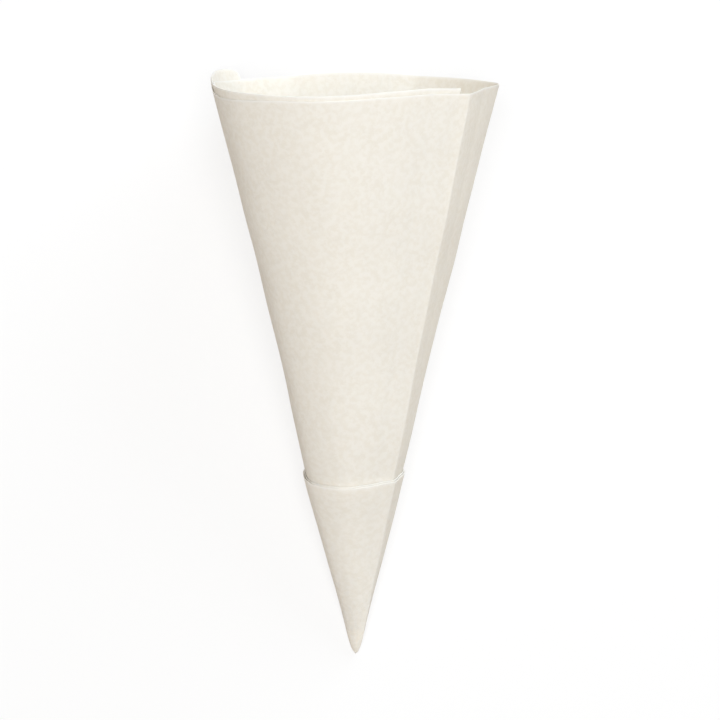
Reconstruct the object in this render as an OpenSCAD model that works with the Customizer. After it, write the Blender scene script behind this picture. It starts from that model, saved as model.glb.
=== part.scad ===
// Paper filter: one sheet, a half disc with a half-round tab on its straight edge.
// It is folded in half, folded in half again, and opened between the second and
// third ply into a cone: three plies on one side, one ply on the other. The tab's
// two plies wrap once round the closed tip. The cone lies on the flat of its
// single-ply wall, mouth towards +Y. Millimetres.

/* [Sheet] */
// Radius of the half disc, which is the cone's slant height
sheet_r = 175; // [120:1:220]
// Radius of the half-round tab, from the same centre
tab_r = 57; // [35:1:80]
// Thickness of the creped paper
paper_t = 0.25; // [0.15:0.05:0.4]
// Clear space between plies that lie together
ply_gap = 0.35; // [0.3:0.05:0.6]

/* [Folds] */
// Turn of the sheet between two folds, in degrees
ply_deg = 45; // [40:0.5:50]
// Azimuth of the outer crease, from the middle of the side that faces up
crease_at = 50; // [40:5:60]
// How far the outer crease stands out of the panels beside it, at the rim
crease_out = 3; // [0:0.1:5]
// How far the sheet's middle fold stands out, at the rim
middle_out = 0.7; // [0:0.1:2]
// How far the inner fold stays behind the outer crease, in degrees
fold_back = 4; // [0:0.5:8]
// How far the inner folded edge bends in from the wall at the rim
fold_in = 0.5; // [0.3:0.1:4]
// How far the two inner plies lie inside the round at the rim
inner_in = 0.5; // [0:0.1:3]

/* [Rim] */
// How far the inner plies stand proud of the outer ply along the slant
inner_proud = 1.2; // [0:0.1:3]
// Height of the round ear at the free corners of the sheet
ear_h = 3.6; // [0:0.1:6]
// Length of the ear round the rim, in degrees
ear_deg = 45; // [30:5:60]

/* [Dents] */
// Soft corner left of the middle: how far it stands out at the rim
corner_out = 3.6; // [0:0.1:6]
// Azimuth of the soft corner
corner_at = -35; // [-50:1:-20]
// How far the panel left of the crease is pressed in at the rim
front_in = 4.6; // [0:0.1:6]
// How far the panel right of the crease is pressed in at the rim
side_in = 4.6; // [0:0.1:6]
// How far the far left side is pressed in at the rim
left_in = 3.6; // [0:0.1:5]
// Width of the flat that the cone lies on, at the rim
flat_w = 36; // [24:1:44]

/* [Tip] */
// Slant distance from the sheet's centre to where the pressed tip begins
tip_at = 10; // [8:0.5:16]
// Length of the pressed, rounded tip
tip_len = 9; // [6:0.5:12]
// Share of its depth that the tip loses across the folds that meet there
tip_pinch = 0.4; // [0:0.05:0.5]
// Height from the sheet's centre where the pinch begins
pinch_at = 30; // [20:1:40]

/* [Hidden] */

pitch = paper_t + ply_gap; // from one ply to the next
half_angle = asin(2 * ply_deg / 360); // two plies of the sheet go once round
rim_r = sheet_r * sin(half_angle);
fold_r = pitch / 2; // a tight fold joins neighbouring plies
start_at = crease_at - 180; // azimuth of the sheet's free edges and middle fold
fold_at = crease_at - fold_back; // azimuth of the inner fold
steps = 36; // facets along each ply
turns = 6; // facets round a tight fold
step = 180 / steps;
inner_step = step * (fold_at - start_at) / 180;

// Numbering of the stations across the sheet, one list from tab fold to tab fold
k_free = 2 * steps; // inner free edge: tab ply ends, first ply begins
k_fold = 3 * steps; // inner fold begins
k_back = k_fold + turns; // inner fold ends
k_middle = k_back + steps; // the sheet's middle fold
k_crease = k_middle + steps; // outer crease
k_end = k_crease + steps; // outer free edge
k_tab = k_end + 2 * steps; // outer tab ply ends, tab fold begins
k_all = k_tab + turns;

// Levels along the slant: shares of the way from tip to tab edge, and on to the rim
low = [0, 0.4, 1];
high = [0, 0.36, 0.7, 1];
top_low = len(low) - 1;
top_high = top_low + len(high) - 1;

function ease(u) = let (v = max(0, min(1, u))) v * v * (3 - 2 * v);
function hump(a, at, half) =
    let (d = abs((a - at + 540) % 360 - 180)) d >= half ? 0 : (1 + cos(180 * d / half)) / 2;
function ridge(a, at, half) =
    let (d = abs((a - at + 540) % 360 - 180)) max(0, 1 - d / half);

// What handling left on the wall: [azimuth, half-width in degrees, way out at the rim]
left_at = corner_at - 42;
humps = [
    [corner_at, 25, corner_out],
    [left_at, 42, -left_in],
    [crease_at - 21, 46, -front_in],
    [crease_at + 20, 46, -side_in]
];
ridges = [[crease_at, 18, crease_out], [start_at, 24, middle_out]];
function sum(v, i = 0) = i < len(v) ? v[i] + sum(v, i + 1) : 0;

// How far the outer wall leaves the round at the rim, by azimuth
function wall_out(a) =
    sum([for (h = humps) h[2] * hump(a, h[0], h[1])])
    + sum([for (r = ridges) r[2] * ridge(a, r[0], r[1])]);

// The inner plies lie against the outer one as far as the left dent. Past it they stay
// inside the round where the outer one leaves it, and bend in towards their fold.
bend_from = 0.62; // share of the half turn where they begin to bend in
bend_over = 0.3; // share of it that the bend takes
function inner_out(a) =
    (a < left_at ? wall_out(a) : min(wall_out(a), -inner_in))
    - fold_in * ease(((a - start_at) / 180 - bend_from) / bend_over);

// Opening angle of the wall, never beyond the plane of the flat underneath. The
// plane counts only where the wall looks down, within 60 degrees of the middle.
flat_in = rim_r - sqrt(pow(rim_r, 2) - pow(flat_w / 2, 2));
flat_angle = asin((rim_r - flat_in) / sheet_r);
function opening(a, out) =
    let (free = asin((rim_r + out) / sheet_r), c = -cos(a))
    c < cos(60) ? free : min(free, atan(tan(flat_angle) / c));

// Ply number of the single wall: past the crease it crosses from outside the folded
// pair to inside it, and has crossed before it reaches the flat
cross_deg = 95;
function single_ply(a) = 2 - 2 * ease((a - crease_at) / cross_deg);

// One station: [azimuth, bulge at the rim, offset out, offset along, side out, side along]
function station(k) =
    k <= steps ? let (a = start_at + k * step) [a, wall_out(a), 3 * pitch, 0, 1, 0]
    : k <= k_free ? let (a = start_at + k * step)
        [a, wall_out(a), (1 + single_ply(a)) * pitch, 0, 1, 0]
    : k <= k_fold ? let (a = start_at + (k - k_free) * inner_step)
        [a, inner_out(a), pitch, 0, 1, 0]
    : k < k_back ? let (w = 180 * (k - k_fold) / turns)
        [fold_at, inner_out(fold_at), fold_r * (1 + cos(w)), fold_r * sin(w),
         cos(w), sin(w)]
    : k <= k_middle ? let (a = fold_at - (k - k_back) * inner_step)
        [a, inner_out(a), 0, 0, -1, 0]
    : k <= k_crease ? let (a = start_at + 360 - (k - k_middle) * step)
        [a, wall_out(a), single_ply(a) * pitch, 0, -1, 0]
    : k <= k_end ? let (a = crease_at - (k - k_crease) * step)
        [a, wall_out(a), 2 * pitch, 0, -1, 0]
    : k <= k_end + steps ? let (a = start_at + 360 - (k - k_end) * step)
        [a, wall_out(a), (2 + single_ply(a)) * pitch, 0, -1, 0]
    : k <= k_tab ? let (a = crease_at - (k - k_end - steps) * step)
        [a, wall_out(a), 4 * pitch, 0, -1, 0]
    : let (w = 180 * (k - k_tab) / turns)
        [start_at, wall_out(start_at), 3.5 * pitch + fold_r * cos(w), -fold_r * sin(w),
         -cos(w), sin(w)];

// Slant of the rim at a station: the arc of the half disc, the proud inner plies
// and the round ear beside the free edges, which leans towards them
ear_lean = 0.45;
proud_over = 1 / 3; // share of a ply over which it rises proud
function ear(u) = u >= 1 ? 0 : ear_h * sin(180 * pow(max(0, u), ear_lean));
function rim_slant(k) =
    let (u_in = (k - k_free) / steps, u_out = (k_end - k) / steps, share = 180 / ear_deg)
    sheet_r + (
        k <= k_fold ? inner_proud * ease(u_in / proud_over) + ear(share * u_in)
        : k < k_back ? inner_proud
        : k <= k_middle ? inner_proud * ease((k_middle - k) / steps / proud_over)
        : k <= k_crease ? 0
        : ear(share * u_out)
    );

function slant(k, level) =
    level <= top_low ? tip_at + (tab_r - tip_at) * low[level]
    : tab_r + (rim_slant(k) - tab_r) * high[level - top_low];

function ray(a, out) =
    let (b = opening(a, out)) [sin(b) * sin(a), -sin(b) * cos(a), cos(b)];
function unit(v) = v / norm(v);

// Point on one face of the sheet (side 1 faces the inside, -1 the outside)
function place(st, s, side) =
    let (
        a = st[0],
        g = ray(a, st[1]),
        along = unit(ray(a + 1, st[1]) - ray(a - 1, st[1])),
        out = unit(cross(along, g)),
        n = st[2] + side * st[4] * paper_t / 2,
        t = st[3] + side * st[5] * paper_t / 2
    )
    s * g + n * out + t * along;

stations = [for (k = [0:k_all - 1]) station(k)];
sheet_points = [
    for (level = [0:top_high], k = level <= top_low ? [0:k_all - 1] : [k_free:k_end])
        for (side = [1, -1]) place(stations[k], slant(k, level), side)
];
function id(k, level, side) =
    (level <= top_low
        ? 2 * (level * k_all + k % k_all)
        : 2 * ((top_low + 1) * k_all + (level - top_low - 1) * (k_end - k_free + 1)
            + k - k_free))
    + (side > 0 ? 0 : 1);

// Rings of the pressed tip, under the outermost turn of the tab: it tapers on as the
// cone does and rounds off at its end
tip_ring = [for (k = [k_end:k_all]) k % k_all];
n_ring = len(tip_ring);
tip_taper = 0.6;
tip_rings = [
    for (w = [0.35, 0.65, 0.88]) [w, (1 - tip_taper * w) * sqrt(1 - pow(w, 4))]
];
tip_base = len(sheet_points);
tip_points = [
    for (r = tip_rings, k = tip_ring)
        let (p = sheet_points[id(k, 0, -1)])
        [p[0] * r[1], p[1] * r[1], p[2] - tip_len * r[0]],
    [0, 0, sheet_points[id(k_end, 0, -1)][2] - tip_len]
];
function tip_id(ring, i) =
    ring == 0 ? id(tip_ring[i % n_ring], 0, -1)
    : tip_base + (ring - 1) * n_ring + i % n_ring;
tip_point = tip_base + len(tip_rings) * n_ring;

function quad(a, b, c, d) = [[a, b, c], [a, c, d]];
function flat_list(l) = [for (x = l, y = x) y];

wall_faces = flat_list([
    for (level = [0:top_high - 1],
        k = level < top_low ? [0:k_all - 1] : [k_free:k_end - 1])
        concat(
            quad(id(k, level, 1), id(k, level + 1, 1),
                id(k + 1, level + 1, 1), id(k + 1, level, 1)),
            quad(id(k, level, -1), id(k + 1, level, -1),
                id(k + 1, level + 1, -1), id(k, level + 1, -1))
        )
]);
function edge_face(k, level) =
    quad(id(k, level, 1), id(k, level, -1), id(k + 1, level, -1), id(k + 1, level, 1));
edge_faces = flat_list([
    for (k = [k_free:k_end - 1]) edge_face(k, top_high),
    for (k = [0:k_free - 1]) edge_face(k, top_low),
    for (k = [k_end:k_all - 1]) edge_face(k, top_low),
    for (level = [top_low:top_high - 1]) concat(
        quad(id(k_free, level, 1), id(k_free, level, -1),
            id(k_free, level + 1, -1), id(k_free, level + 1, 1)),
        quad(id(k_end, level, 1), id(k_end, level + 1, 1),
            id(k_end, level + 1, -1), id(k_end, level, -1))
    )
]);

// Bottoms of the spaces between plies, where the plies run into the pressed tip
inside_bottom = flat_list([
    for (i = [0:k_fold - 1])
        quad(id(i, 0, 1), id(i + 1, 0, 1), id(k_tab - i - 1, 0, 1), id(k_tab - i, 0, 1)),
    for (i = [k_fold:k_back - 1]) [[id(k_crease, 0, 1), id(i, 0, 1), id(i + 1, 0, 1)]],
    for (i = [0:steps - 2])
        quad(id(k_back + i, 0, 1), id(k_back + i + 1, 0, 1),
            id(k_crease - i - 1, 0, 1), id(k_crease - i, 0, 1)),
    [[id(k_middle - 1, 0, 1), id(k_middle, 0, 1), id(k_middle + 1, 0, 1)]],
    for (i = [k_tab + 1:k_all - 1]) [[id(k_tab, 0, 1), id(i, 0, 1), id(i + 1, 0, 1)]]
]);
outside_bottom = flat_list([
    for (i = [0:k_fold - 1])
        quad(id(i, 0, -1), id(k_end - i, 0, -1),
            id(k_end - i - 1, 0, -1), id(i + 1, 0, -1)),
    for (i = [k_fold + 1:k_back - 1])
        [[id(k_fold, 0, -1), id(i + 1, 0, -1), id(i, 0, -1)]]
]);
tip_faces = flat_list([
    for (r = [0:len(tip_rings) - 1], i = [0:n_ring - 1])
        quad(tip_id(r, i + 1), tip_id(r, i), tip_id(r + 1, i), tip_id(r + 1, i + 1)),
    for (i = [0:n_ring - 1])
        [[tip_id(len(tip_rings), i + 1), tip_id(len(tip_rings), i), tip_point]]
]);

// The folds of all the plies meet at the tip, so it is pinched across them
across = [cos(crease_at), sin(crease_at), 0];
pinch_over = pinch_at + tip_len / 2;
function pinched(p) =
    p - tip_pinch * ease((pinch_at - p[2]) / pinch_over) * (p * across) * across;

// Laid down: the rim's flat and the tab's edge both touch the surface underneath
lie_angle = flat_angle - atan(2 * pitch / (sheet_r - tab_r));
function laid(p) =
    [p[0], p[2] * cos(lie_angle) + p[1] * sin(lie_angle),
     p[2] * sin(lie_angle) - p[1] * cos(lie_angle)];
laid_points = [for (p = concat(sheet_points, tip_points)) laid(pinched(p))];
function mid(i) = let (v = [for (p = laid_points) p[i]]) (min(v) + max(v)) / 2;
low_z = min([for (p = laid_points) p[2]]);

module filter_paper()
    color([0.93, 0.9, 0.85])
        translate([-mid(0), -mid(1), -low_z])
            polyhedron(
                points = laid_points,
                faces = concat(wall_faces, edge_faces, inside_bottom,
                    outside_bottom, tip_faces)
            );

filter_paper();
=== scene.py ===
import math

import bpy
import numpy as np
from mathutils import Matrix, Vector


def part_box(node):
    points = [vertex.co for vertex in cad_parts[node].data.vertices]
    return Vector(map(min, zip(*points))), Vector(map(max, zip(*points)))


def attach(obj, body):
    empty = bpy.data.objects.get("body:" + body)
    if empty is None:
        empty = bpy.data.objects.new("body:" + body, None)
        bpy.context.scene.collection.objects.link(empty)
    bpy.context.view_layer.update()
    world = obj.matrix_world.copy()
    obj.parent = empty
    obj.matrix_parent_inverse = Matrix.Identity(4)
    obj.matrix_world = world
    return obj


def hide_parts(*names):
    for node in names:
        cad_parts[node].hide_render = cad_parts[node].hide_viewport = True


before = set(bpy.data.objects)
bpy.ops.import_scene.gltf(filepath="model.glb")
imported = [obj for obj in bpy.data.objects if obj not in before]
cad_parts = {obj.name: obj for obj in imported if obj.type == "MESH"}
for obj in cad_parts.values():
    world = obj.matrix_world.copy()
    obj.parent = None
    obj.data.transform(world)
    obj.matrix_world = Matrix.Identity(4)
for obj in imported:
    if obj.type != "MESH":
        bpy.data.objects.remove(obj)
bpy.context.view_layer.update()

# Folded sheet
# The real filter is one sheet of thick white filter paper, die cut as a half disc with
# a half-round tab of the same centre. It is folded in half twice and opened by hand
# into a cone, which lies on its single ply. Nothing is glued.

SHEET_R = 0.175
TAB_R = 0.057
PAPER_T = 0.00025
PLY_PITCH = 0.00038  # from one ply to the next where they lie together
RIM_R = SHEET_R * 0.25  # half of the half disc's turn goes once round the cone
CREASE_AT = 50.0  # azimuth in degrees, from the middle of the side that faces up
FOLD_AT = CREASE_AT - 4.0  # the fold that the two inner plies share
FREE_AT = CREASE_AT - 180.0  # the free edges and the sheet's middle fold
FLAT_HALF = 0.018  # half the width of the flat underneath, at the rim
INNER_PROUD = 0.0012  # how far the two inner plies stand above the outer one
EAR_H = 0.0036
TIP_AT = 0.008  # slant where the plies run into the pressed tip
TIP_LEN = 0.0085

# What handling has left in the wall: height in metres, azimuth and half width in degrees
CREASES = ((0.0030, CREASE_AT, 18.0), (0.0007, FREE_AT, 24.0))
DENTS = ((0.0046, CREASE_AT - 22.0, 49.0), (0.0049, CREASE_AT + 20.0, 51.0), (0.0033, -86.0, 40.0))


def ease(u):
    v = np.clip(u, 0.0, 1.0)
    return v * v * (3.0 - 2.0 * v)


def turn_from(azimuth, at):
    return np.abs((azimuth - at + 540.0) % 360.0 - 180.0)


def hump(azimuth, at, half):
    share = np.clip(turn_from(azimuth, at) / half, 0.0, 1.0)
    return 0.5 + 0.5 * np.cos(np.pi * share)


def ridge(azimuth, at, half):
    return np.maximum(0.0, 1.0 - turn_from(azimuth, at) / half)


def wall_bulge(azimuth):
    """How far the wall leaves the round at the rim."""
    out = sum(height * ridge(azimuth, at, half) for height, at, half in CREASES)
    return out - sum(height * hump(azimuth, at, half) for height, at, half in DENTS)


def inner_bulge(azimuth):
    """The two inner plies lie against the wall, and half a millimetre off it by their fold."""
    half_turn_share = (azimuth - FREE_AT) / 180.0
    return wall_bulge(azimuth) - 0.0005 * ease((half_turn_share - 0.62) / 0.3)


def single_ply_number(azimuth):
    """The single wall crosses from inside the folded pair to outside it, clear of the flat."""
    return 2.0 - 2.0 * ease((azimuth - CREASE_AT) / 95.0)


flat_angle = math.asin(math.sqrt(RIM_R**2 - FLAT_HALF**2) / SHEET_R)


def wall_ray(azimuth, bulge):
    """Unit vector along the wall from the sheet's centre, in the cone's own axes."""
    turn = np.radians(azimuth)
    down = -np.cos(turn)
    opening = np.arcsin((RIM_R + bulge) / SHEET_R)
    on_flat = np.arctan(math.tan(flat_angle) / np.maximum(down, 0.5))
    opening = np.where(down < 0.5, opening, np.minimum(opening, on_flat))
    return np.stack([np.sin(opening) * np.sin(turn), np.sin(opening) * down, np.cos(opening)], -1)


# Each ply goes half round the cone and takes an eighth of the sheet's full circle. A
# station is one line up a ply: azimuth, bulge, plies out, plies along, the way its
# inner face looks (out, along), the sheet's own angle, and the share of the half turn.
# Stations crowd beside the folds, where the paper bends most.
beside_fold = np.array([0.35, 0.9, 1.8])
half_turn = np.concatenate(
    [[0.0], beside_fold, np.arange(3.0, 178.0, 2.0), 180.0 - beside_fold[::-1], [180.0]]
)
fold_turn = np.linspace(0.0, math.pi, 9)[1:-1]


def ply(start, way, bulge, number, sheet_from, face, turn=180.0):
    """Stations of one ply; number gives how many plies out it lies at an azimuth."""
    azimuth = start + way * half_turn * turn / 180.0
    share = half_turn / 180.0
    one, none = np.ones_like(azimuth), np.zeros_like(azimuth)
    plies_out = number(azimuth) * one
    sheet_angle = sheet_from + 45.0 * share
    return np.stack(
        [azimuth, bulge(azimuth), plies_out, none, face * one, none, sheet_angle, share], -1
    )


def tight_fold(at, bulge, number, way, sheet_angle):
    """Stations of the half round turn that joins ply number + 1 to ply number."""
    one = np.ones_like(fold_turn)
    c, s = np.cos(fold_turn), np.sin(fold_turn)
    plies_out, plies_along = number + 0.5 + 0.5 * c, way * 0.5 * s
    bulge_here = bulge(np.float64(at)) * one
    return np.stack(
        [at * one, bulge_here, plies_out, plies_along, way * c, s, sheet_angle * one, one], -1
    )


far_start = FREE_AT + 360.0
pair_turn = FOLD_AT - FREE_AT
inner_tab = [
    ply(FREE_AT, 1, wall_bulge, lambda azimuth: 3.0, -90.0, 1),
    ply(CREASE_AT, 1, wall_bulge, lambda azimuth: 1.0 + single_ply_number(azimuth), -45.0, 1)[1:],
]
folded_pair = [
    ply(FREE_AT, 1, inner_bulge, lambda azimuth: 1.0, 0.0, 1, pair_turn)[1:],
    tight_fold(FOLD_AT, inner_bulge, 0.0, 1, 45.0),
    ply(FOLD_AT, -1, inner_bulge, lambda azimuth: 0.0, 45.0, -1, pair_turn),
]
outer_wall = [
    ply(far_start, -1, wall_bulge, single_ply_number, 90.0, -1)[1:],
    ply(CREASE_AT, -1, wall_bulge, lambda azimuth: 2.0, 135.0, -1)[1:],
]
outer_tab = [
    ply(far_start, -1, wall_bulge, lambda azimuth: 2.0 + single_ply_number(azimuth), 180.0, -1)[1:],
    ply(CREASE_AT, -1, wall_bulge, lambda azimuth: 4.0, 225.0, -1)[1:],
    tight_fold(FREE_AT, wall_bulge, 3.0, -1, 270.0),
]
stations = np.concatenate(inner_tab + folded_pair + outer_wall + outer_tab)
azimuth, bulge, plies_out, plies_along = stations.T[:4]
face_out, face_along, sheet_angle, share = stations.T[4:]

per_ply = len(half_turn) - 1
k_free = 2 * per_ply  # inner free edge
k_fold = 3 * per_ply  # the fold that the two inner plies share
k_back = k_fold + len(fold_turn) + 1
k_middle = k_back + per_ply  # the sheet's middle fold
k_crease = k_middle + per_ply  # the outer crease
k_end = k_crease + per_ply  # outer free edge
k_tab = k_end + 2 * per_ply
k_all = k_tab + len(fold_turn) + 1
in_strip = slice(k_free, k_end + 1)


def ear(way_from_edge):
    """Round ear that the free corners of the half disc make, a quarter of a ply wide."""
    return EAR_H * np.sin(np.pi * np.clip(4.0 * way_from_edge, 0.0, 1.0) ** 0.45)


rim_slant = np.full(k_all, SHEET_R)
k = np.arange(k_all)
first_ply = (k >= k_free) & (k <= k_fold)
in_fold = (k > k_fold) & (k < k_back)
second_ply = (k >= k_back) & (k <= k_middle)
last_ply = (k > k_crease) & (k <= k_end)
share_in = np.where(k == k_free, 0.0, share)
rim_slant += np.where(first_ply, INNER_PROUD * ease(3.0 * share_in) + ear(share_in), 0.0)
rim_slant += np.where(in_fold, INNER_PROUD, 0.0)
rim_slant += np.where(second_ply, INNER_PROUD * ease(3.0 * (1.0 - share)), 0.0)
rim_slant += np.where(last_ply, ear(1.0 - share), 0.0)

# Near the left end the three plies have slipped apart, so three cut edges show there
slip = hump(azimuth, -60.0, 40.0)
for in_ply, raised in ((first_ply, 0.0005), (second_ply, -0.0006), (last_ply, -0.0008)):
    rim_slant += np.where(in_ply, raised * slip, 0.0)

# The tab's two plies never fold quite edge to edge, and their cut edge lifts a little
LIFT_FROM = 0.034  # slant where the tab begins to leave the wall
tab_slip = 0.0005 * np.sin(np.radians(azimuth * 0.5 + 20.0)) ** 2
tab_slant = TAB_R + np.where(k < k_free, tab_slip, 0.0)
lift_height = np.where(k < k_free, 0.0004, np.where(k > k_end, 0.0010, 0.0))
tab_lift = lift_height * hump(azimuth, -8.0, 95.0)

# Rows of points crowd toward the tab's cut edge and the rim
low_share = np.concatenate(
    [[0.0, 0.04, 0.1], np.arange(0.18, 0.75, 0.08), [0.81, 0.87, 0.92, 0.955, 0.98, 0.994, 1.0]]
)
below_rim = np.array([0.0, 0.00025, 0.0008, 0.0018, 0.0032, 0.005, 0.0075])
upper_wall = np.linspace(0.0105, SHEET_R - TAB_R, 38)
high_share = 1.0 - np.concatenate([below_rim, upper_wall])[::-1] / (SHEET_R - TAB_R)
in_tab = (k <= k_free) | (k >= k_end)
low_top = np.where(in_tab, tab_slant, TAB_R)
low_top[[k_free, k_end]] = TAB_R
low_slant = TIP_AT + (low_top - TIP_AT) * low_share[:, None]
high_slant = TAB_R + (rim_slant[in_strip] - TAB_R) * high_share[1:, None]


def sheet_points(at, slant):
    """Points of both faces: rows are slants, columns stations, then the inner and outer face."""
    ray = wall_ray(azimuth[at], bulge[at])
    along = wall_ray(azimuth[at] + 1.0, bulge[at]) - wall_ray(azimuth[at] - 1.0, bulge[at])
    along /= np.linalg.norm(along, axis=-1, keepdims=True)
    out = np.cross(along, ray)
    out /= np.linalg.norm(out, axis=-1, keepdims=True)
    lift = tab_lift[at] * ease((slant - LIFT_FROM) / (TAB_R - LIFT_FROM)) ** 2
    faces = []
    for side in (1, -1):
        off_out = plies_out[at] * PLY_PITCH + side * face_out[at] * PAPER_T / 2 + lift
        off_along = plies_along[at] * PLY_PITCH + side * face_along[at] * PAPER_T / 2
        off = off_out[..., None] * out + off_along[..., None] * along
        faces.append(slant[..., None] * ray + off)
    return np.stack(faces, 2)


FOLD_MARK_WIDTH = 0.0007
EDGE_GLOW_WIDTH = 0.0008


def sheet_marks(at, slant):
    """For each point: place on the flat sheet, nearness to a fold, nearness to a cut edge."""
    turn = np.radians(sheet_angle[at])
    flat = np.stack([slant * np.cos(turn), slant * np.sin(turn)], -1)
    from_fold = np.min([np.abs(slant * np.sin(turn - math.radians(f))) for f in (45, 90, 135)], 0)
    fold = np.exp(-((from_fold / FOLD_MARK_WIDTH) ** 2))
    from_cut = (rim_slant[at] if at is in_strip else low_top[at]) - slant
    in_half_disc = (slant > TAB_R) & (sheet_angle[at] >= 0.0) & (sheet_angle[at] <= 180.0)
    from_side = np.where(in_half_disc, slant * np.abs(np.sin(turn)), np.inf)
    # Near a cut edge the paper gets its painted glow, fading out over 0.8 mm
    near_cut = 1.0 - ease(np.minimum(from_cut, from_side) / EDGE_GLOW_WIDTH)
    cut = np.where(in_half_disc | in_tab[at], near_cut, 0.0)
    return flat, fold, cut


whole = slice(0, k_all)
low_points = sheet_points(whole, low_slant)
high_points = sheet_points(in_strip, high_slant)
low_flat, low_fold, low_cut = sheet_marks(whole, low_slant)
high_flat, high_fold, high_cut = sheet_marks(in_strip, high_slant)

n_low, n_high, n_strip = len(low_share), len(high_share) - 1, k_end - k_free + 1
low_id = np.arange(n_low * k_all * 2).reshape(n_low, k_all, 2)
high_id = low_id.size + np.arange(n_high * n_strip * 2).reshape(n_high, n_strip, 2)
high_id = np.concatenate([low_id[-1:, in_strip], high_id])

INNER, OUTER = 0, 1
faces = []
face_kind = []  # which face of the sheet each polygon belongs to


def add(polygons, kind):
    polygons = [tuple(int(i) for i in p) for p in polygons]
    faces.extend(polygons)
    face_kind.extend([kind] * len(polygons))


def wall(grid, kind):
    a, b = grid[:-1, :-1, kind], grid[:-1, 1:, kind]
    c, d = grid[1:, 1:, kind], grid[1:, :-1, kind]
    corners = [a, b, c, d] if kind == INNER else [a, d, c, b]
    add(np.stack(corners, -1).reshape(-1, 4), kind)


low_ring = np.concatenate([low_id, low_id[:, :1]], 1)
for kind in (INNER, OUTER):
    wall(low_ring, kind)
    wall(high_id, kind)


def cut_edge(line):
    """Closes the cut between the two faces along a line of stations or of slants."""
    a, b = line[:-1], line[1:]
    add(np.stack([a[:, INNER], b[:, INNER], b[:, OUTER], a[:, OUTER]], -1), OUTER)


cut_edge(high_id[-1])
cut_edge(low_ring[-1, : k_free + 1])
cut_edge(low_ring[-1, k_end:])
cut_edge(high_id[:, 0])
cut_edge(high_id[::-1, -1])

# Where the plies run into the tip, the narrow spaces between them close. Each strip or
# fan below joins two neighbouring plies, first inside the cone and then outside it.
floor_id = low_id[0]


def close(kind, *lines):
    """Faces whose corners run along the given lines of stations; a line may be one station."""
    lines = np.broadcast_arrays(*lines)
    add(np.stack([floor_id[line % k_all, kind].ravel() for line in lines], -1), kind)


i = np.arange(k_fold)
close(INNER, i, k_tab - i, k_tab - i - 1, i + 1)
j = np.arange(k_fold, k_back)
close(INNER, j + 1, j, k_crease)
i = np.arange(per_ply - 1)
close(INNER, k_crease - i, k_crease - i - 1, k_back + i + 1, k_back + i)
close(INNER, k_middle + 1, k_middle, k_middle - 1)
j = np.arange(k_tab + 1, k_all)
close(INNER, j + 1, j, k_tab)
i = np.arange(k_fold)
close(OUTER, i + 1, k_end - i - 1, k_end - i, i)
j = np.arange(k_fold + 1, k_back)
close(OUTER, j, j + 1, k_fold)

# The pressed tip, under the outermost turn of the tab
tip_ring = np.arange(k_end, k_all + 1) % k_all
tip_base = low_points[0, tip_ring, OUTER]
tip_point = np.array([0.0, 0.0, tip_base[:, 2].mean() - TIP_LEN])
tip_way = np.linspace(0.0, 1.0, 12)[1:-1]
tip_rows = [
    np.concatenate(
        [
            tip_base[:, :2] * (1.0 - 0.6 * w) * math.sqrt(1.0 - w**4),
            tip_base[:, 2:] * (1.0 - w) + tip_point[2] * w,
        ],
        1,
    )
    for w in tip_way
]
first_tip = low_id.size + n_high * n_strip * 2
tip_id = first_tip + np.arange(len(tip_way) * len(tip_ring)).reshape(len(tip_way), len(tip_ring))
tip_id = np.concatenate([floor_id[tip_ring, OUTER][None], tip_id])
for lower, upper in zip(tip_id[1:], tip_id[:-1]):
    add(np.stack([upper, np.roll(upper, -1), np.roll(lower, -1), lower], -1), OUTER)
last = first_tip + len(tip_way) * len(tip_ring)
add(np.stack([tip_id[-1], np.roll(tip_id[-1], -1), np.full(len(tip_ring), last)], -1), OUTER)

points = np.concatenate(
    [low_points.reshape(-1, 3), high_points.reshape(-1, 3), *tip_rows, tip_point[None]]
)
no_mark = np.zeros(len(points) - first_tip)
fold_mark = np.concatenate([np.repeat(low_fold, 2), np.repeat(high_fold, 2), no_mark])
edge_glow_mark = np.concatenate([np.repeat(low_cut, 2), np.repeat(high_cut, 2), no_mark])
tip_flat = points[first_tip:, :2] - points[first_tip:, 2:]
both_flat = [np.repeat(flat.reshape(-1, 2), 2, 0) for flat in (low_flat, high_flat)]
flat_place = np.concatenate([*both_flat, tip_flat])

# The folds of all the plies meet at the tip, so it is pinched thinner across them
PINCH_SHARE = 0.40
PINCH_FROM, PINCH_RUN = 0.030, 0.0345
across_way = np.array([math.cos(math.radians(CREASE_AT)), math.sin(math.radians(CREASE_AT))])
pinch = PINCH_SHARE * ease((PINCH_FROM - points[:, 2]) / PINCH_RUN)
across = points[:, :2] @ across_way
points[:, :2] -= (pinch * across)[:, None] * across_way

# Paper waves a little where nothing holds it: not on the flat, nor at the tip
around = np.degrees(np.arctan2(points[:, 0], -points[:, 1]))
free_of_flat = ease((150.0 - np.abs(around)) / 40.0)
above_tip = ease((points[:, 2] - 0.012) / 0.05)
near_rim = ease((points[:, 2] - 0.13) / 0.04)
loose_mark = free_of_flat * above_tip * (1.0 - 0.6 * near_rim)
outward = points * [1, 1, 0]
outward /= np.linalg.norm(outward, axis=1, keepdims=True) + 1e-9

# Laid down: the rim's flat and the tab's cut edge both rest on the floor
lie_angle = flat_angle - math.atan(2.0 * PLY_PITCH / (SHEET_R - TAB_R))
cos_lie, sin_lie = math.cos(lie_angle), math.sin(lie_angle)
to_world = np.array([[1, 0, 0], [0, sin_lie, cos_lie], [0, -cos_lie, sin_lie]])
points = points @ to_world.T
outward = outward @ to_world.T

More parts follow.
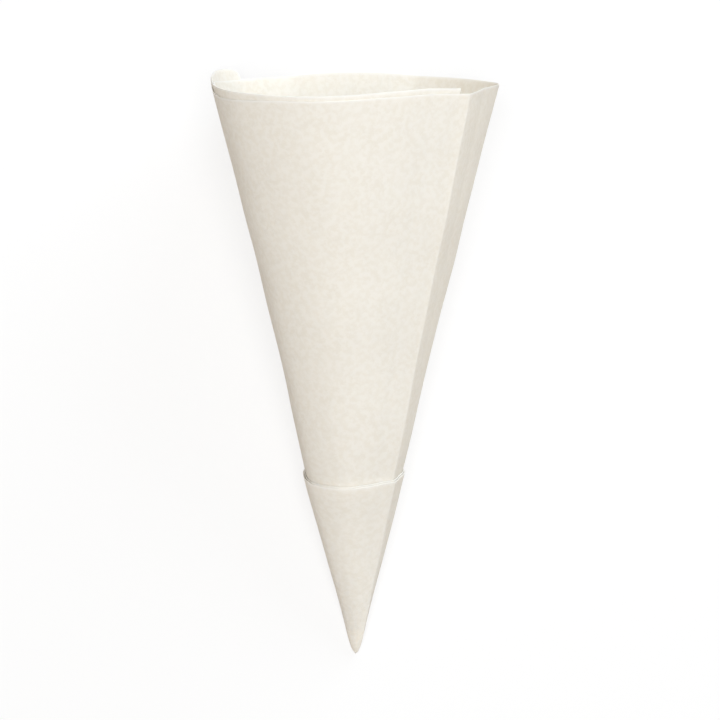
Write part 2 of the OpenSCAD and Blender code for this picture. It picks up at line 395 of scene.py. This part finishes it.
sheet_mesh = bpy.data.meshes.new("folded_sheet")
sheet_mesh.from_pydata(points.tolist(), [], faces)
sheet_mesh.polygons.foreach_set("use_smooth", [True] * len(sheet_mesh.polygons))
for name, values in (("fold", fold_mark), ("cut", edge_glow_mark), ("loose", loose_mark)):
    point_mark = sheet_mesh.attributes.new(name, "FLOAT", "POINT")
    point_mark.data.foreach_set("value", values.astype(np.float32))
outward_mark = sheet_mesh.attributes.new("outward", "FLOAT_VECTOR", "POINT")
outward_mark.data.foreach_set("vector", outward.astype(np.float32).ravel())

# The pattern of the paper follows the flat sheet, with its other face beside it
UV_SPAN = 0.8  # metres across the whole square of the pattern
corner_point = np.empty(len(sheet_mesh.loops), int)
sheet_mesh.loops.foreach_get("vertex_index", corner_point)
corner_kind = np.repeat(face_kind, [len(f) for f in faces])
corner_uv = flat_place[corner_point] / UV_SPAN + 0.25
corner_uv[:, 0] += 0.5 * (corner_kind == OUTER)
uv_layer = sheet_mesh.uv_layers.new(name="flat_sheet")
uv_layer.data.foreach_set("uv", corner_uv.astype(np.float32).ravel())
sheet_mesh.validate()
sheet_mesh.set_sharp_from_angle(angle=math.radians(40))

sheet = bpy.data.objects.new("folded_filter_sheet", sheet_mesh)
bpy.context.scene.collection.objects.link(sheet)

# Filter paper
# Thick, soft, bleached plant pulp: cloudy where the fibres bunch, with fine fibres that
# lie every way, a paler, rougher line along each fold, and painted glow at the cut edge,
# which is painted paler as if light came through the thin paper there.

paper = bpy.data.materials.new("filter_paper")
paper.use_nodes = True
tree = paper.node_tree
shader = tree.nodes["Principled BSDF"]
shader.inputs["IOR"].default_value = 1.45
shader.inputs["Specular IOR Level"].default_value = 0.25
shader.inputs["Subsurface Weight"].default_value = 0.3
shader.inputs["Subsurface Radius"].default_value = (1.0, 0.92, 0.82)
shader.inputs["Subsurface Scale"].default_value = 0.0005

flat_sheet = tree.nodes.new("ShaderNodeUVMap")
flat_sheet.uv_map = "flat_sheet"


def pattern(size, detail, distortion=0.0):
    """Noise on the flat sheet whose cells are size metres wide."""
    noise = tree.nodes.new("ShaderNodeTexNoise")
    noise.noise_dimensions = "2D"
    noise.inputs["Scale"].default_value = UV_SPAN / size
    noise.inputs["Detail"].default_value = detail
    noise.inputs["Roughness"].default_value = 0.55
    noise.inputs["Distortion"].default_value = distortion
    tree.links.new(flat_sheet.outputs["UV"], noise.inputs["Vector"])
    return noise.outputs[0]


def between(value, low, high, to_low=0.0, to_high=1.0, smooth=True):
    node = tree.nodes.new("ShaderNodeMapRange")
    node.interpolation_type = "SMOOTHSTEP" if smooth else "LINEAR"
    limits = {"From Min": low, "From Max": high, "To Min": to_low, "To Max": to_high}
    for socket, number in limits.items():
        node.inputs[socket].default_value = number
    tree.links.new(value, node.inputs["Value"])
    return node.outputs["Result"]


def reckon(operation, a, b):
    node = tree.nodes.new("ShaderNodeMath")
    node.operation = operation
    for socket, given in zip(node.inputs, (a, b)):
        if isinstance(given, (int, float)):
            socket.default_value = given
        else:
            tree.links.new(given, socket)
    return node.outputs[0]


def mark(name):
    node = tree.nodes.new("ShaderNodeAttribute")
    node.attribute_name = name
    return node.outputs["Fac"]


def shade(colour, other, share):
    """Blends two colours; either may be a plain colour or a socket."""
    node = tree.nodes.new("ShaderNodeMix")
    node.data_type = "RGBA"
    for at, given in ((0, share), (6, colour), (7, other)):
        socket = node.inputs[at]
        if isinstance(given, bpy.types.NodeSocket):
            tree.links.new(given, socket)
        else:
            socket.default_value = given
    return node.outputs[2]


def fibres(size, width):
    """Thin curling lines, where a distorted noise passes through its middle value."""
    line = reckon("ABSOLUTE", reckon("SUBTRACT", pattern(size, 2.0, 1.6), 0.5), 0.0)
    return between(line, 0.0, width, 1.0, 0.0)


clouds = between(pattern(0.008, 2.0), 0.3, 0.7)
bunches = between(pattern(0.0017, 3.0), 0.34, 0.66)
tooth = pattern(0.0006, 2.0)
strands = reckon("MAXIMUM", fibres(0.0024, 0.02), fibres(0.0016, 0.016))
fold_line, edge_glow_line = mark("fold"), mark("cut")

PULP = (0.875, 0.834, 0.752, 1.0)
PULP_THIN = (0.858, 0.814, 0.728, 1.0)
PULP_THICK = (0.912, 0.880, 0.812, 1.0)
# Painted glow: the colour of the cut edge, paler as if light came through the thin paper there
PAINTED_EDGE_GLOW = (0.935, 0.915, 0.865, 1.0)
colour = shade(PULP_THIN, PULP, clouds)
colour = shade(colour, PULP_THICK, reckon("MULTIPLY", bunches, 0.75))
colour = shade(colour, PULP_THICK, reckon("MULTIPLY", strands, 0.35))
# A paler line along each fold, a fifth of the way to the pale edge colour
colour = shade(colour, PAINTED_EDGE_GLOW, reckon("MULTIPLY", fold_line, 0.2))
# Painted glow along every cut edge, where light would come through the thin paper
colour = shade(colour, PAINTED_EDGE_GLOW, edge_glow_line)
tree.links.new(colour, shader.inputs["Base Color"])

worn = reckon("ADD", bunches, reckon("MULTIPLY", fold_line, 0.6))
roughness = between(worn, 0.0, 1.6, 0.82, 0.95, smooth=False)
tree.links.new(roughness, shader.inputs["Roughness"])

height = reckon("ADD", reckon("MULTIPLY", bunches, 0.7), reckon("MULTIPLY", strands, 0.45))
height = reckon("ADD", height, reckon("MULTIPLY", tooth, 0.5))
height = reckon("ADD", height, reckon("MULTIPLY", clouds, 0.8))
bump = tree.nodes.new("ShaderNodeBump")
bump.inputs["Strength"].default_value = 0.6
bump.inputs["Distance"].default_value = 0.00006
tree.links.new(height, bump.inputs["Height"])
tree.links.new(bump.outputs["Normal"], shader.inputs["Normal"])

# Waves of a sheet that has been folded flat and opened by hand: one soft noise moves
# all the plies together along their outward way, as far as each point is loose.
waves = bpy.data.node_groups.new("hand_made_waves", "GeometryNodeTree")
sockets = {
    name: waves.interface.new_socket(name, in_out="INPUT", socket_type=kind)
    for name, kind in (
        ("Sheet", "NodeSocketGeometry"),
        ("Wave height", "NodeSocketFloat"),
        ("Wave length", "NodeSocketFloat"),
        ("Seed", "NodeSocketFloat"),
        ("Paper", "NodeSocketMaterial"),
    )
}
waves.interface.new_socket("Sheet", in_out="OUTPUT", socket_type="NodeSocketGeometry")


def wave_node(kind, **settings):
    node = waves.nodes.new(kind)
    for name, value in settings.items():
        setattr(node, name, value)
    return node


given = wave_node("NodeGroupInput")
result = wave_node("NodeGroupOutput")
place = wave_node("GeometryNodeInputPosition")
noise = wave_node("ShaderNodeTexNoise", noise_dimensions="4D")
noise.inputs["Detail"].default_value = 1.0
per_length = wave_node("ShaderNodeMath", operation="DIVIDE")
per_length.inputs[0].default_value = 1.0
centred = wave_node("ShaderNodeMath", operation="SUBTRACT")
centred.inputs[1].default_value = 0.5
tall = wave_node("ShaderNodeMath", operation="MULTIPLY")
held = wave_node("ShaderNodeMath", operation="MULTIPLY")
looseness = wave_node("GeometryNodeInputNamedAttribute", data_type="FLOAT")
looseness.inputs["Name"].default_value = "loose"
way_out = wave_node("GeometryNodeInputNamedAttribute", data_type="FLOAT_VECTOR")
way_out.inputs["Name"].default_value = "outward"
move = wave_node("ShaderNodeVectorMath", operation="SCALE")
set_place = wave_node("GeometryNodeSetPosition")
realize = wave_node("GeometryNodeRealizeInstances")
set_paper = wave_node("GeometryNodeSetMaterial")
for source, target in (
    (given.outputs["Wave length"], per_length.inputs[1]),
    (place.outputs[0], noise.inputs["Vector"]),
    (given.outputs["Seed"], noise.inputs["W"]),
    (per_length.outputs[0], noise.inputs["Scale"]),
    (noise.outputs[0], centred.inputs[0]),
    (centred.outputs[0], tall.inputs[0]),
    (given.outputs["Wave height"], tall.inputs[1]),
    (tall.outputs[0], held.inputs[0]),
    (looseness.outputs[0], held.inputs[1]),
    (way_out.outputs[0], move.inputs[0]),
    (held.outputs[0], move.inputs["Scale"]),
    (given.outputs["Sheet"], set_place.inputs["Geometry"]),
    (move.outputs[0], set_place.inputs["Offset"]),
    (set_place.outputs[0], realize.inputs[0]),
    (realize.outputs[0], set_paper.inputs["Geometry"]),
    (given.outputs["Paper"], set_paper.inputs["Material"]),
    (set_paper.outputs[0], result.inputs[0]),
):
    waves.links.new(source, target)

handled = sheet.modifiers.new("hand_made_waves", "NODES")
handled.node_group = waves
handled[sockets["Wave height"].identifier] = 0.0030
handled[sockets["Wave length"].identifier] = 0.045
handled[sockets["Seed"].identifier] = 3.0
handled[sockets["Paper"].identifier] = paper
depsgraph = bpy.context.evaluated_depsgraph_get()
waved = bpy.data.meshes.new_from_object(
    sheet.evaluated_get(depsgraph), preserve_all_data_layers=True, depsgraph=depsgraph
)
sheet.modifiers.clear()
sheet.data = waved

# It lies in the middle of the CAD solid's box, on the same floor
low_corner, high_corner = (np.array(c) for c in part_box("filter_paper"))
at = np.array([v.co for v in waved.vertices])
shift = (low_corner + high_corner - at.min(0) - at.max(0)) / 2
shift[2] = low_corner[2] - at[:, 2].min()
waved.transform(Matrix.Translation(shift))

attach(sheet, "root")
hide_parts("filter_paper")

# Floor
# A plain pale table top, painted matte. It looks white to the camera, keeps the filter's
# soft shadow near it, and fades to pure white further away. What it returns to the filter
# is a little dimmer and warmer than it looks.

floor_mesh = bpy.data.meshes.new("floor")
floor_mesh.from_pydata([(-4, -4, 0), (4, -4, 0), (4, 4, 0), (-4, 4, 0)], [], [(0, 1, 2, 3)])
floor = bpy.data.objects.new("floor", floor_mesh)
bpy.context.scene.collection.objects.link(floor)

# Looked at straight, mirrored or through something clear, floor and surround are white
looked_at = bpy.data.node_groups.new("looked_at", "ShaderNodeTree")
looked_at.interface.new_socket("Looked at", in_out="OUTPUT", socket_type="NodeSocketFloat")
ray_kind = looked_at.nodes.new("ShaderNodeLightPath")
camera_or_glossy = looked_at.nodes.new("ShaderNodeMath")
or_transmission = looked_at.nodes.new("ShaderNodeMath")
camera_or_glossy.operation = or_transmission.operation = "MAXIMUM"
looked_at_result = looked_at.nodes.new("NodeGroupOutput")
for source, target in (
    (ray_kind.outputs["Is Camera Ray"], camera_or_glossy.inputs[0]),
    (ray_kind.outputs["Is Glossy Ray"], camera_or_glossy.inputs[1]),
    (camera_or_glossy.outputs[0], or_transmission.inputs[0]),
    (ray_kind.outputs["Is Transmission Ray"], or_transmission.inputs[1]),
    (or_transmission.outputs[0], looked_at_result.inputs[0]),
):
    looked_at.links.new(source, target)

table = bpy.data.materials.new("pale_table")
table.use_nodes = True
nodes = table.node_tree.nodes
matte = nodes["Principled BSDF"]
matte.inputs["Roughness"].default_value = 0.9
matte.inputs["Specular IOR Level"].default_value = 0.1
white = nodes.new("ShaderNodeEmission")
white.inputs["Color"].default_value = (1.0, 1.0, 1.0, 1.0)
white.inputs["Strength"].default_value = 1.0
floor_place = nodes.new("ShaderNodeTexCoord")
from_filter = nodes.new("ShaderNodeVectorMath")
from_filter.operation = "LENGTH"
whiteness = nodes.new("ShaderNodeMapRange")  # from 0.15 m to 0.8 m from the filter's middle
for socket, number in (("From Min", 0.15), ("From Max", 0.8), ("To Min", 0.7), ("To Max", 1.0)):
    whiteness.inputs[socket].default_value = number
seen = nodes.new("ShaderNodeGroup")
seen.node_tree = looked_at
top_colour = nodes.new("ShaderNodeMix")
top_colour.data_type = "RGBA"
top_colour.inputs[6].default_value = (0.73, 0.67, 0.60, 1.0)
top_colour.inputs[7].default_value = (0.88, 0.88, 0.88, 1.0)
seen_share = nodes.new("ShaderNodeMath")
seen_share.operation = "MULTIPLY"
seen_white = nodes.new("ShaderNodeMixShader")
for source, target in (
    (seen.outputs[0], top_colour.inputs[0]),
    (top_colour.outputs[2], matte.inputs["Base Color"]),
    (floor_place.outputs["Object"], from_filter.inputs[0]),
    (from_filter.outputs["Value"], whiteness.inputs["Value"]),
    (whiteness.outputs["Result"], seen_share.inputs[0]),
    (seen.outputs[0], seen_share.inputs[1]),
    (seen_share.outputs[0], seen_white.inputs[0]),
    (matte.outputs[0], seen_white.inputs[1]),
    (white.outputs[0], seen_white.inputs[2]),
    (seen_white.outputs[0], nodes["Material Output"].inputs["Surface"]),
):
    table.node_tree.links.new(source, target)
floor_mesh.materials.append(table)

# Light
# A wide softbox above the filter, a cooler one that looks into its mouth, and a warm
# pale surround.


def softbox(name, place, aim, size, power, tint=(1.0, 1.0, 1.0)):
    lamp = bpy.data.lights.new(name, "AREA")
    lamp.shape = "SQUARE"
    lamp.size = size
    lamp.energy = power
    lamp.color = tint
    box = bpy.data.objects.new(name, lamp)
    box.location = place
    box.rotation_euler = (Vector(aim) - Vector(place)).to_track_quat("-Z", "Y").to_euler()
    bpy.context.scene.collection.objects.link(box)


softbox("key_softbox", (-0.02, 0.0, 1.25), (0.0, 0.0, 0.03), 0.7, 12.0)
softbox("mouth_softbox", (0.50, 0.82, 0.40), (0.0, 0.09, 0.04), 0.7, 6.5, (0.80, 0.90, 1.0))

world = bpy.data.worlds.new("studio")
bpy.context.scene.world = world
world.use_nodes = True
nodes = world.node_tree.nodes
sky = nodes["Background"]
sky.inputs["Color"].default_value = (1.0, 0.935, 0.86, 1.0)
sky.inputs["Strength"].default_value = 0.29
bare = nodes.new("ShaderNodeBackground")
bare.inputs["Color"].default_value = (1.0, 1.0, 1.0, 1.0)
bare.inputs["Strength"].default_value = 1.0
sky_seen = nodes.new("ShaderNodeGroup")
sky_seen.node_tree = looked_at
sky_mix = nodes.new("ShaderNodeMixShader")
for source, target in (
    (sky_seen.outputs[0], sky_mix.inputs[0]),
    (sky.outputs[0], sky_mix.inputs[1]),
    (bare.outputs[0], sky_mix.inputs[2]),
    (sky_mix.outputs[0], nodes["World Output"].inputs["Surface"]),
):
    world.node_tree.links.new(source, target)

# Camera
# It stands where the photograph's camera stood from the cone, which here is above it.

camera_data = bpy.data.cameras.new("camera")
camera_data.sensor_width = 36.0
camera_data.lens = 119.6
camera = bpy.data.objects.new("camera", camera_data)
camera.location = (0.0014, -0.0155, 0.725)
looks_at = Vector((0.0014, 0.0, 0.03))
way = looks_at - camera.location
camera.rotation_euler = (math.atan2(way.y, -way.z), 0.0, 0.0)
bpy.context.scene.collection.objects.link(camera)
bpy.context.scene.camera = camera
bpy.context.scene.view_settings.view_transform = "Standard"
